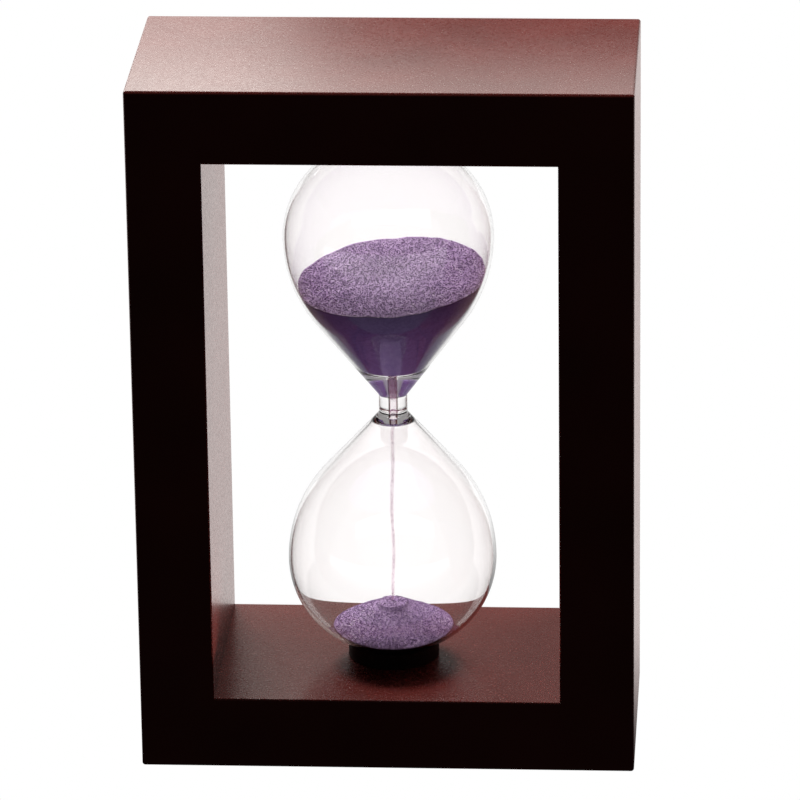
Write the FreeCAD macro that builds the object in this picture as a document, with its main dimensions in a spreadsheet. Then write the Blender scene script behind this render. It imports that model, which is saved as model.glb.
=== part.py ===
import FreeCAD, Part

import math
import os

import Sketcher

# A sand timer: a rectangular wooden frame of two boards and two posts, dowelled together, with a
# blown glass double bulb held between two seat rings, and sand in the glass.
# Millimetres. +Z is up, +X to the right, -Y is the front. The origin is the centre of the base.

NODES = []
Vector = FreeCAD.Vector
FORWARDS, BACKWARDS = False, True
CORNER, SMOOTH = "Coincident", "Tangent"


# ---------------------------------------------------------------------------------------------
# Driving dimensions
# ---------------------------------------------------------------------------------------------

SIZES = [
    # frame
    ("frame_width", 100.0),
    ("frame_depth", 50.0),
    ("frame_height", 144.0),
    ("board_thickness", 15.0),
    ("arris_round", 0.6),
    ("opening_round", 0.4),
    # dowels in the butt joints
    ("dowel_diameter", 6.0),
    ("dowel_length", 30.0),
    ("dowel_in_board", 10.0),
    ("dowel_spacing", 26.0),
    ("dowel_chamfer", 0.8),
    ("dowel_clearance", 0.03),
    ("dowel_end_gap", 0.8),
    # glass, measured up and down from the level that its two bulbs share
    ("neck_drop", 0.8),
    ("neck_radius", 2.9),
    ("neck_above", 0.4),
    ("neck_below", 2.6),
    ("waist_round", 1.2),
    ("flank_round", 28.5),
    ("bulb_radius", 21.3),
    ("bulb_end_round", 19.3),
    ("glass_wall", 0.6),
    ("bore_radius", 0.7),
    ("floor_above", 7.0),
    ("floor_below", 4.9),
    ("cavity_corner", 2.0),
    ("stub_radius", 4.5),
    ("stub_bore_radius", 3.2),
    ("stub_length", 6.0),
    # seat rings, cushions and stopper
    ("seat_depth", 2.3),
    ("ring_radius", 9.3),
    ("ring_land", 0.4),
    ("ring_gap", 0.1),
    ("stub_clearance", 0.3),
    ("cushion_thickness", 1.2),
    ("cushion_clearance", 0.1),
    ("stopper_length", 6.0),
    ("stopper_clearance", 0.02),
    ("stopper_taper", 0.2),
    # sand
    ("sand_clearance", 0.05),
    ("sand_level", 25.7),
    ("sand_tilt", 6.7),
    ("sand_tilt_bearing", -41.0),
    ("heap_rim_radius", 12.5),
    ("heap_height", 8.5),
    ("heap_crown_radius", 2.85),
    ("heap_slope_round", 24.0),
    ("stream_top_radius", 0.4),
    ("stream_foot_radius", 0.3),
]

# Derived distances, as expressions over the sheet.
OPENING_HEIGHT = "(Sizes.frame_height - 2 * Sizes.board_thickness)"
OPENING_WIDTH = "(Sizes.frame_width - 2 * Sizes.board_thickness)"
POST_CENTRE = "(Sizes.frame_width / 2 - Sizes.board_thickness / 2)"
DOWEL_IN_POST = "(Sizes.dowel_length - Sizes.dowel_in_board)"
NECK_HEIGHT = "(Sizes.frame_height / 2 - Sizes.neck_drop)"
UPPER_SEAT_DEPTH = "(Sizes.seat_depth + 2 * Sizes.neck_drop)"
BULB_END = f"({NECK_HEIGHT} - Sizes.board_thickness - Sizes.seat_depth)"
BULB_MIDDLE = f"({BULB_END} - Sizes.bulb_end_round)"
BULB_END_CENTRE = "(Sizes.bulb_radius - Sizes.bulb_end_round)"
FLANK_CENTRE = "(Sizes.bulb_radius - Sizes.flank_round)"
WAIST_CENTRE = "(Sizes.neck_radius + Sizes.waist_round)"
STUB_TIP = f"({BULB_END} + Sizes.stub_length)"
STUB_HOLE_RADIUS = "(Sizes.stub_radius + Sizes.stub_clearance)"
HEAP_CROWN = f"(Sizes.glass_wall + Sizes.heap_height - {BULB_END})"


doc = FreeCAD.newDocument("Hourglass")
sheet = doc.addObject("Spreadsheet::Sheet", "Sizes")
for row, (alias, number) in enumerate(SIZES, start=1):
    sheet.set(f"A{row}", alias)
    sheet.set(f"B{row}", str(number))
    sheet.setAlias(f"B{row}", alias)
doc.recompute()


# ---------------------------------------------------------------------------------------------
# Helpers
# ---------------------------------------------------------------------------------------------

def value(expression):
    """The number that an expression over the sheet gives."""
    return float(sheet.evalExpression(expression))


def new_body(label):
    """A body that becomes the node of this name."""
    body = doc.addObject("PartDesign::Body", label)
    body.Label = label
    NODES.append(body)
    return body


def origin_plane(body, role):
    """One of the body's own origin planes."""
    return next(plane for plane in body.Origin.OriginFeatures if plane.Role == role)


def sketch_on(body, name, role, height=None):
    """A sketch on an origin plane of its body, raised by an expression if one is given."""
    sketch = body.newObject("Sketcher::SketchObject", name)
    sketch.AttachmentSupport = [(origin_plane(body, role), "")]
    sketch.MapMode = "FlatFace"
    if height is not None:
        sketch.setExpression("AttachmentOffset.Base.z", height)
    return sketch


def upside_down(sketch):
    """Turn a sketch over on its plane, so that what is drawn upwards runs downwards."""
    half_turn = FreeCAD.Rotation(Vector(1, 0, 0), 180)
    sketch.AttachmentOffset = FreeCAD.Placement(Vector(0, 0, 0), half_turn)
    return sketch


def dimension(sketch, name, kind, where, expression):
    """Add a dimension to the sketch and bind it to the sheet."""
    index = sketch.addConstraint(Sketcher.Constraint(kind, *where, value(expression)))
    sketch.renameConstraint(index, name)
    sketch.setExpression("Constraints." + name, expression)


def line(x0, y0, x1, y1):
    return Part.LineSegment(Vector(x0, y0, 0), Vector(x1, y1, 0))


def arc(x, y, radius, start, end):
    """A counter-clockwise arc about (x, y); angles in radians."""
    return Part.ArcOfCircle(Part.Circle(Vector(x, y, 0), Vector(0, 0, 1), radius), start, end)


def close_outline(sketch, curves):
    """Add curves that follow each other round a closed outline and join them end to start.

    Each entry is the curve, whether the outline runs along it backwards, because an arc always
    starts at its clockwise end, and how it meets the next: Coincident at a corner or Tangent."""
    START, END = 1, 2
    ids = [sketch.addGeometry(entry[0], False) for entry in curves]
    for position, (_, backwards, joint) in enumerate(curves):
        following = (position + 1) % len(curves)
        leaving = START if backwards else END
        entering = END if curves[following][1] else START
        sketch.addConstraint(
            Sketcher.Constraint(joint, ids[position], leaving, ids[following], entering)
        )
    return ids


def add_circle(sketch, name, radius, x=None, y=None):
    """A circle of a bound radius, at the origin or at a bound position off it."""
    middle = Vector(value(x) if x else 0, value(y) if y else 0, 0)
    circle = sketch.addGeometry(Part.Circle(middle, Vector(0, 0, 1), value(radius)), False)
    dimension(sketch, name + "_radius", "Radius", (circle,), radius)
    for axis_kind, place, suffix in (("DistanceX", x, "_x"), ("DistanceY", y, "_y")):
        if place:
            dimension(sketch, name + suffix, axis_kind, (-1, 1, circle, 3), place)
        else:
            axis_line = -2 if axis_kind == "DistanceX" else -1
            sketch.addConstraint(Sketcher.Constraint("PointOnObject", circle, 3, axis_line))


def add_rectangle(sketch, width, depth):
    """A rectangle centred on the sketch's origin."""
    half_w = value(width) / 2
    half_d = value(depth) / 2
    bottom, right, top, left = close_outline(sketch, [
        (line(-half_w, -half_d, half_w, -half_d), FORWARDS, CORNER),
        (line(half_w, -half_d, half_w, half_d), FORWARDS, CORNER),
        (line(half_w, half_d, -half_w, half_d), FORWARDS, CORNER),
        (line(-half_w, half_d, -half_w, -half_d), FORWARDS, CORNER),
    ])
    for edge in (bottom, top):
        sketch.addConstraint(Sketcher.Constraint("Horizontal", edge))
    for edge in (right, left):
        sketch.addConstraint(Sketcher.Constraint("Vertical", edge))
    sketch.addConstraint(Sketcher.Constraint("Symmetric", bottom, 1, top, 1, -1, 1))
    dimension(sketch, "width", "DistanceX", (bottom, 1, bottom, 2), width)
    dimension(sketch, "depth", "DistanceY", (right, 1, right, 2), depth)


def pad(body, sketch, name, length, reversed_=False, midplane=False):
    feature = body.newObject("PartDesign::Pad", name)
    feature.Profile = sketch
    feature.Reversed = reversed_
    feature.Midplane = midplane
    feature.setExpression("Length", length)
    return feature


def pocket(body, sketch, name, length, reversed_=False, midplane=False):
    """A pocket runs against the sketch's normal unless it is reversed."""
    feature = body.newObject("PartDesign::Pocket", name)
    feature.Profile = sketch
    feature.Reversed = reversed_
    feature.Midplane = midplane
    feature.setExpression("Length", length)
    return feature


def turned(body, sketch, name, kind="Revolution"):
    """Revolve (or groove) a sketch about its own vertical axis."""
    feature = body.newObject("PartDesign::" + kind, name)
    feature.Profile = sketch
    feature.ReferenceAxis = (sketch, ["V_Axis"])
    feature.Angle = 360
    return feature


def mirrored(body, name, feature, role):
    """Mirror a feature in one of the body's origin planes."""
    mirror = body.newObject("PartDesign::Mirrored", name)
    mirror.Originals = [feature]
    mirror.MirrorPlane = (origin_plane(body, role), [""])
    body.Tip = mirror
    return mirror


def fillet(body, base, name, radius, chosen):
    """Round those straight edges of a feature whose middles pass the test."""
    doc.recompute()
    names = []
    for number, edge in enumerate(base.Shape.Edges, start=1):
        straight = isinstance(edge.Curve, Part.Line)
        if straight and chosen(edge.CenterOfMass):
            names.append(f"Edge{number}")
    feature = body.newObject("PartDesign::Fillet", name)
    feature.Base = (base, names)
    feature.setExpression("Radius", radius)
    return feature


def place(piece, x="0", y="0", z="0", axis=Vector(0, 0, 1), angle=0.0):
    """Put a piece at bound coordinates, turned about an axis through its own origin."""
    piece.Placement = FreeCAD.Placement(Vector(0, 0, 0), FreeCAD.Rotation(axis, angle))
    for coordinate, expression in (("x", x), ("y", y), ("z", z)):
        piece.setExpression("Placement.Base." + coordinate, expression)


# ---------------------------------------------------------------------------------------------
# Frame: two full-width boards with two posts between them
# ---------------------------------------------------------------------------------------------

def add_dowel_pair(sketch, x=None):
    """The front and back dowel holes of one butt joint."""
    hole = "Sizes.dowel_diameter / 2 + Sizes.dowel_clearance"
    add_circle(sketch, "front", hole, x, "-Sizes.dowel_spacing / 2")
    add_circle(sketch, "back", hole, x, "Sizes.dowel_spacing / 2")


def draw_arris_waste(sketch, y_edge, radius):
    """What rounding takes off a square edge at (y_edge, 0): two tangents and the arc they touch."""
    edge = value(y_edge)
    size = value(radius)
    curves = [
        (line(edge - size, 0, edge, 0), FORWARDS, CORNER),
        (line(edge, 0, edge, -size), FORWARDS, CORNER),
        (arc(edge - size, -size, size, 0, math.pi / 2), FORWARDS, CORNER),
    ]
    top, side, rounding = close_outline(sketch, curves)
    sketch.addConstraint([
        Sketcher.Constraint("PointOnObject", top, 1, -1),
        Sketcher.Constraint("Horizontal", top),
        Sketcher.Constraint("Vertical", side),
        Sketcher.Constraint("Vertical", rounding, 3, top, 1),
        Sketcher.Constraint("Horizontal", rounding, 3, side, 2),
    ])
    dimension(sketch, "edge", "DistanceX", (-1, 1, side, 1), y_edge)
    dimension(sketch, "radius", "DistanceX", (top, 1, top, 2), radius)


def round_opening_arrises(body, label):
    """Round the board's inner front and back edges between the posts, where they show."""
    waste = sketch_on(body, label + "_opening_waste", "YZ_Plane")
    draw_arris_waste(waste, "Sizes.frame_depth / 2", "Sizes.opening_round")
    rounding = pocket(body, waste, label + "_opening_arris", OPENING_WIDTH, midplane=True)
    mirrored(body, label + "_opening_arris_front", rounding, "XZ_Plane")


def make_board(label, nub_hole_depth):
    """A board whose inner face is its local z = 0, with its thickness below that."""
    body = new_body(label)
    outline = sketch_on(body, label + "_outline", "XY_Plane")
    add_rectangle(outline, "Sizes.frame_width", "Sizes.frame_depth")
    slab = pad(body, outline, label + "_slab", "Sizes.board_thickness", reversed_=True)
    half_width = value("Sizes.frame_width") / 2
    outer_face = -value("Sizes.board_thickness")

    def on_outside(middle):
        at_corner = abs(abs(middle.x) - half_width) < 1e-6 and middle.z < -1e-6
        return at_corner or abs(middle.z - outer_face) < 1e-6

    fillet(body, slab, label + "_arris", "Sizes.arris_round", on_outside)
    round_opening_arrises(body, label)
    dowel_circles = sketch_on(body, label + "_dowel_circles", "XY_Plane")
    add_dowel_pair(dowel_circles, POST_CENTRE)
    depth = "Sizes.dowel_in_board + Sizes.dowel_end_gap"
    right_holes = pocket(body, dowel_circles, label + "_dowel_holes", depth)
    mirrored(body, label + "_left_dowel_holes", right_holes, "YZ_Plane")
    nub_circle = sketch_on(body, label + "_nub_circle", "XY_Plane")
    add_circle(nub_circle, "nub", STUB_HOLE_RADIUS)
    pocket(body, nub_circle, label + "_nub_hole", nub_hole_depth)
    return body


def make_post(label):
    """A post centred on its local origin, with its outer face towards local +X."""
    body = new_body(label)
    outline = sketch_on(body, label + "_outline", "XY_Plane")
    add_rectangle(outline, "Sizes.board_thickness", "Sizes.frame_depth")
    block = pad(body, outline, label + "_block", OPENING_HEIGHT, midplane=True)
    outer_face = value("Sizes.board_thickness") / 2

    def is_outer_upright(middle):
        return abs(middle.x - outer_face) < 1e-6 and abs(middle.z) < 1e-6

    def is_inner_upright(middle):
        return abs(middle.x + outer_face) < 1e-6 and abs(middle.z) < 1e-6

    outside = fillet(body, block, label + "_arris", "Sizes.arris_round", is_outer_upright)
    fillet(body, outside, label + "_opening_arris", "Sizes.opening_round", is_inner_upright)
    circles = sketch_on(body, label + "_dowel_circles", "XY_Plane", f"-{OPENING_HEIGHT} / 2")
    add_dowel_pair(circles)
    depth = f"{DOWEL_IN_POST} + Sizes.dowel_end_gap"
    lower_holes = pocket(body, circles, label + "_dowel_holes", depth, reversed_=True)
    mirrored(body, label + "_upper_dowel_holes", lower_holes, "XY_Plane")
    return body


def make_dowel(label):
    """A plain dowel centred on its local origin, chamfered at both ends."""
    body = new_body(label)
    section = sketch_on(body, label + "_section", "XY_Plane")
    add_circle(section, "dowel", "Sizes.dowel_diameter / 2")
    rod = pad(body, section, label + "_rod", "Sizes.dowel_length", midplane=True)
    doc.recompute()
    ends = [
        f"Edge{number}"
        for number, edge in enumerate(rod.Shape.Edges, start=1)
        if isinstance(edge.Curve, Part.Circle)
    ]
    chamfer = body.newObject("PartDesign::Chamfer", label + "_chamfer")
    chamfer.Base = (rod, ends)
    chamfer.setExpression("Size", "Sizes.dowel_chamfer")
    return body


def make_frame():
    lower_hole = "Sizes.stub_length - Sizes.seat_depth + Sizes.cushion_thickness"
    upper_hole = f"Sizes.stub_length - {UPPER_SEAT_DEPTH} + Sizes.cushion_thickness"
    bottom_board = make_board("bottom_board", lower_hole)
    place(bottom_board, z="Sizes.board_thickness")
    top_board = make_board("top_board", upper_hole)
    place(top_board, z="Sizes.frame_height - Sizes.board_thickness", axis=Vector(1, 0, 0), angle=180)
    for side, sign, turn in (("left", "-", 180), ("right", "", 0)):
        post = make_post(side + "_post")
        place(post, x=sign + POST_CENTRE, z="Sizes.frame_height / 2", angle=turn)


def make_dowels():
    """Two dowels in each of the four joints, each centred off its joint face."""
    off_joint = f"({DOWEL_IN_POST} - Sizes.dowel_in_board) / 2"
    joints = (
        ("top", f"Sizes.frame_height - Sizes.board_thickness - {off_joint}"),
        ("bottom", f"Sizes.board_thickness + {off_joint}"),
    )
    for end, height in joints:
        for side, x_sign in (("left", "-"), ("right", "")):
            for row, y_sign in (("front", "-"), ("back", "")):
                dowel = make_dowel(f"dowel_{end}_{side}_{row}")
                place(dowel, x=x_sign + POST_CENTRE, y=y_sign + "Sizes.dowel_spacing / 2", z=height)


# ---------------------------------------------------------------------------------------------
# Glass: one double bulb with a thick waist, a closed nub below and an open filling stub above
# ---------------------------------------------------------------------------------------------

def flank_angle(neck):
    """The angle between the axis and the straight flank that touches the waist and bulb rounds.

    The waist round starts where the neck's straight stretch ends."""
    across = value(WAIST_CENTRE) - value(FLANK_CENTRE)
    along = value(f"{BULB_MIDDLE} - {neck}")
    rounds = value("Sizes.waist_round + Sizes.flank_round")
    return math.atan2(along, across) - math.acos(rounds / math.hypot(across, along))


def bulb_arcs(inset, angle):
    """The flank arc and the end arc of a bulb's section, shrunk by an inset."""
    middle = value(BULB_MIDDLE)
    flank = arc(value(FLANK_CENTRE), middle, value("Sizes.flank_round") - inset, -angle, 0)
    end_arc_radius = value("Sizes.bulb_end_round") - inset
    return flank, end_arc_radius, middle


def bind_bulb_arcs(sketch, flank, end, inset):
    """Hold both arcs' radii and the flank's centre, with the end arc's centre level with it."""
    dimension(sketch, "flank_radius", "Radius", (flank,), f"Sizes.flank_round - {inset}")
    dimension(sketch, "end_radius", "Radius", (end,), f"Sizes.bulb_end_round - {inset}")
    dimension(sketch, "flank_centre_x", "DistanceX", (-1, 1, flank, 3), FLANK_CENTRE)
    dimension(sketch, "bulb_middle", "DistanceY", (-1, 1, flank, 3), BULB_MIDDLE)
    sketch.addConstraint(Sketcher.Constraint("Horizontal", end, 3, flank, 3))


def draw_outer_half(sketch, neck):
    """Half of the glass's outer section: straight neck, waist, flank, bulb and solid stub."""
    angle = flank_angle(neck)
    neck_x = value("Sizes.neck_radius")
    neck_end = value(neck)
    waist = value("Sizes.waist_round")
    waist_x = value(WAIST_CENTRE)
    stub = value("Sizes.stub_radius")
    tip = value(STUB_TIP)
    flank_arc, end_radius, middle = bulb_arcs(0, angle)
    end_x = value(BULB_END_CENTRE)
    stub_angle = math.acos((stub - end_x) / end_radius)
    stub_foot = middle + end_radius * math.sin(stub_angle)
    waist_end = (waist_x - waist * math.cos(angle), neck_end + waist * math.sin(angle))
    flank_start = flank_arc.StartPoint
    curves = [
        (line(0, 0, neck_x, 0), FORWARDS, CORNER),
        (line(neck_x, 0, neck_x, neck_end), FORWARDS, SMOOTH),
        (arc(waist_x, neck_end, waist, math.pi - angle, math.pi), BACKWARDS, SMOOTH),
        (line(*waist_end, flank_start.x, flank_start.y), FORWARDS, SMOOTH),
        (flank_arc, FORWARDS, SMOOTH),
        (arc(end_x, middle, end_radius, 0, stub_angle), FORWARDS, CORNER),
        (line(stub, stub_foot, stub, tip), FORWARDS, CORNER),
        (line(stub, tip, 0, tip), FORWARDS, CORNER),
        (line(0, tip, 0, 0), FORWARDS, CORNER),
    ]
    floor, stem, waist_arc, flank, bulb, end, side, top, axis = close_outline(sketch, curves)
    sketch.addConstraint([
        Sketcher.Constraint("Coincident", floor, 1, -1, 1),
        Sketcher.Constraint("Horizontal", floor),
        Sketcher.Constraint("Vertical", stem),
        Sketcher.Constraint("Vertical", side),
        Sketcher.Constraint("Horizontal", top),
        Sketcher.Constraint("Vertical", axis),
    ])
    dimension(sketch, "neck_radius", "DistanceX", (floor, 1, floor, 2), "Sizes.neck_radius")
    dimension(sketch, "neck_stretch", "DistanceY", (stem, 1, stem, 2), neck)
    dimension(sketch, "waist_round", "Radius", (waist_arc,), "Sizes.waist_round")
    bind_bulb_arcs(sketch, bulb, end, "0")
    dimension(sketch, "stub_radius", "DistanceX", (-1, 1, side, 1), "Sizes.stub_radius")
    dimension(sketch, "stub_tip", "DistanceY", (-1, 1, side, 2), STUB_TIP)


def draw_cavity_half(sketch, neck, floor_level, clearance="0"):
    """Half of the cavity's section: flat floor, rounded corner, flank parallel to the outside."""
    wall = f"(Sizes.glass_wall + {clearance})"
    inset = value(wall)
    angle = flank_angle(neck)
    outward = (math.cos(angle), -math.sin(angle))
    flank_arc, end_radius, middle = bulb_arcs(inset, angle)
    end_x = value(BULB_END_CENTRE)
    corner = value(f"Sizes.cavity_corner - {clearance}")
    floor_height = value(f"{floor_level} + {clearance}")
    flank_start = flank_arc.StartPoint
    reach = outward[0] * flank_start.x + outward[1] * flank_start.y - corner
    corner_y = floor_height + corner
    corner_x = (reach - outward[1] * corner_y) / outward[0]
    corner_end = (corner_x + corner * outward[0], corner_y + corner * outward[1])
    top = middle + end_radius
    curves = [
        (line(0, floor_height, corner_x, floor_height), FORWARDS, SMOOTH),
        (arc(corner_x, corner_y, corner, -math.pi / 2, -angle), FORWARDS, SMOOTH),
        (line(*corner_end, flank_start.x, flank_start.y), FORWARDS, SMOOTH),
        (flank_arc, FORWARDS, SMOOTH),
        (arc(end_x, middle, end_radius, 0, math.pi / 2), FORWARDS, SMOOTH),
        (line(end_x, top, 0, top), FORWARDS, CORNER),
        (line(0, top, 0, floor_height), FORWARDS, CORNER),
    ]
    floor, corner_arc, flank, bulb, end, crown, axis = close_outline(sketch, curves)
    waist_x = value(WAIST_CENTRE)
    waist = value("Sizes.waist_round") + inset
    guide_circle = Part.Circle(Vector(waist_x, value(neck), 0), Vector(0, 0, 1), waist)
    guide = sketch.addGeometry(guide_circle, True)
    sketch.addConstraint([
        Sketcher.Constraint("Tangent", flank, guide),
        Sketcher.Constraint("PointOnObject", floor, 1, -2),
        Sketcher.Constraint("Horizontal", floor),
        Sketcher.Constraint("Horizontal", crown),
        Sketcher.Constraint("Vertical", axis),
    ])
    dimension(sketch, "waist_centre", "DistanceX", (-1, 1, guide, 3), WAIST_CENTRE)
    dimension(sketch, "waist_level", "DistanceY", (-1, 1, guide, 3), neck)
    dimension(sketch, "guide_radius", "Radius", (guide,), f"Sizes.waist_round + {wall}")
    dimension(sketch, "floor", "DistanceY", (-1, 1, floor, 1), f"{floor_level} + {clearance}")
    dimension(sketch, "corner", "Radius", (corner_arc,), f"Sizes.cavity_corner - {clearance}")
    bind_bulb_arcs(sketch, bulb, end, wall)


def make_glass():
    """Both bulbs, hollowed, then bored through the neck and down through the filling stub."""
    body = new_body("glass")
    upper_outer = sketch_on(body, "glass_upper_outer", "XZ_Plane")
    draw_outer_half(upper_outer, "Sizes.neck_above")
    turned(body, upper_outer, "glass_upper_half")
    lower_outer = upside_down(sketch_on(body, "glass_lower_outer", "XZ_Plane"))
    draw_outer_half(lower_outer, "Sizes.neck_below")
    turned(body, lower_outer, "glass_lower_half")
    upper_cavity = sketch_on(body, "glass_upper_cavity", "XZ_Plane")
    draw_cavity_half(upper_cavity, "Sizes.neck_above", "Sizes.floor_above")
    turned(body, upper_cavity, "glass_upper_hollow", "Groove")
    lower_cavity = upside_down(sketch_on(body, "glass_lower_cavity", "XZ_Plane"))
    draw_cavity_half(lower_cavity, "Sizes.neck_below", "Sizes.floor_below")
    turned(body, lower_cavity, "glass_lower_hollow", "Groove")
    bore_start = "(Sizes.floor_above + Sizes.cavity_corner)"
    bore_circle = sketch_on(body, "glass_bore_circle", "XY_Plane", bore_start)
    add_circle(bore_circle, "bore", "Sizes.bore_radius")
    bore_length = f"{bore_start} + Sizes.floor_below + Sizes.cavity_corner"
    pocket(body, bore_circle, "glass_bore", bore_length)
    stub_circle = sketch_on(body, "glass_stub_circle", "XY_Plane", STUB_TIP)
    add_circle(stub_circle, "stub_bore", "Sizes.stub_bore_radius")
    pocket(body, stub_circle, "glass_stub_bore", "Sizes.stub_length + 2 * Sizes.glass_wall")
    place(body, z=NECK_HEIGHT)
    return body


# ---------------------------------------------------------------------------------------------
# What holds and closes the glass
# ---------------------------------------------------------------------------------------------

def make_ring(label, seat_depth):
    """A seat ring standing on local z = 0, dished to the round of the bulb's end."""
    body = new_body(label)
    section = sketch_on(body, label + "_section", "XZ_Plane")
    inner = value(STUB_HOLE_RADIUS)
    outer = value("Sizes.ring_radius")
    lip = value("Sizes.ring_radius - Sizes.ring_land")
    centre_x = value(BULB_END_CENTRE)
    centre_z = f"({seat_depth} + Sizes.bulb_end_round)"
    middle = value(centre_z)
    radius = value("Sizes.bulb_end_round + Sizes.ring_gap")
    inner_angle = -math.acos((inner - centre_x) / radius)
    lip_angle = -math.acos((lip - centre_x) / radius)
    seat = arc(centre_x, middle, radius, inner_angle, lip_angle)
    low = seat.StartPoint
    high = seat.EndPoint
    curves = [
        (line(inner, 0, outer, 0), FORWARDS, CORNER),
        (line(outer, 0, outer, high.y), FORWARDS, CORNER),
        (line(outer, high.y, high.x, high.y), FORWARDS, CORNER),
        (seat, BACKWARDS, CORNER),
        (line(low.x, low.y, inner, 0), FORWARDS, CORNER),
    ]
    foot, side, land, dish, bore = close_outline(section, curves)
    section.addConstraint([
        Sketcher.Constraint("PointOnObject", foot, 1, -1),
        Sketcher.Constraint("Horizontal", foot),
        Sketcher.Constraint("Vertical", side),
        Sketcher.Constraint("Horizontal", land),
        Sketcher.Constraint("Vertical", bore),
    ])
    dimension(section, "ring_bore", "DistanceX", (-1, 1, foot, 1), STUB_HOLE_RADIUS)
    dimension(section, "ring_radius", "DistanceX", (-1, 1, foot, 2), "Sizes.ring_radius")
    dimension(section, "ring_land", "DistanceX", (land, 2, land, 1), "Sizes.ring_land")
    dimension(section, "dish_radius", "Radius", (dish,), "Sizes.bulb_end_round + Sizes.ring_gap")
    dimension(section, "dish_x", "DistanceX", (-1, 1, dish, 3), BULB_END_CENTRE)
    dimension(section, "dish_z", "DistanceY", (-1, 1, dish, 3), centre_z)
    turned(body, section, label + "_turned")
    return body


def make_cushion(label, height):
    """A soft disc at the bottom of a board's nub hole."""
    disc = doc.addObject("Part::Cylinder", label)
    disc.Label = label
    disc.setExpression("Radius", f"{STUB_HOLE_RADIUS} - Sizes.cushion_clearance")
    disc.setExpression("Height", "Sizes.cushion_thickness")
    place(disc, z=height)
    NODES.append(disc)


def make_stopper():
    """A tapered bung, flush with the tip of the filling stub."""
    bung = doc.addObject("Part::Cone", "stopper")
    bung.Label = "stopper"
    wide = "Sizes.stub_bore_radius - Sizes.stopper_clearance"
    bung.setExpression("Radius1", f"{wide} - Sizes.stopper_taper")
    bung.setExpression("Radius2", wide)
    bung.setExpression("Height", "Sizes.stopper_length")
    place(bung, z=f"{NECK_HEIGHT} + {STUB_TIP} - Sizes.stopper_length")
    NODES.append(bung)


def make_glass_holders():
    lower_ring = make_ring("lower_ring", "Sizes.seat_depth")
    place(lower_ring, z="Sizes.board_thickness")
    upper_ring = make_ring("upper_ring", UPPER_SEAT_DEPTH)
    ceiling = "Sizes.frame_height - Sizes.board_thickness"
    place(upper_ring, z=ceiling, axis=Vector(1, 0, 0), angle=180)
    make_cushion("lower_cushion", f"{NECK_HEIGHT} - {STUB_TIP} - Sizes.cushion_thickness")
    make_cushion("upper_cushion", f"{NECK_HEIGHT} + {STUB_TIP}")
    make_stopper()


# ---------------------------------------------------------------------------------------------
# Sand
# ---------------------------------------------------------------------------------------------

def make_sand_upper():
    """The sand still to run: the upper cavity's shape, cut off by a tilted level."""
    body = new_body("sand_upper")
    fill = sketch_on(body, "sand_upper_fill", "XZ_Plane")
    draw_cavity_half(fill, "Sizes.neck_above", "Sizes.floor_above", "Sizes.sand_clearance")
    turned(body, fill, "sand_upper_turned")
    level = sketch_on(body, "sand_upper_level", "XY_Plane")
    bearing = math.radians(value("Sizes.sand_tilt_bearing"))
    tilt_axis = Vector(math.cos(bearing), math.sin(bearing), 0)
    tilt = FreeCAD.Rotation(tilt_axis, value("Sizes.sand_tilt"))
    level.AttachmentOffset = FreeCAD.Placement(Vector(0, 0, 0), tilt)
    level.setExpression("AttachmentOffset.Base.z", "Sizes.sand_level")
    level.setExpression("AttachmentOffset.Rotation.Angle", "Sizes.sand_tilt * 1 deg")
    add_rectangle(level, "3 * Sizes.bulb_radius", "3 * Sizes.bulb_radius")
    pocket(body, level, "sand_upper_cut", BULB_END, reversed_=True)
    place(body, z=NECK_HEIGHT)


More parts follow.
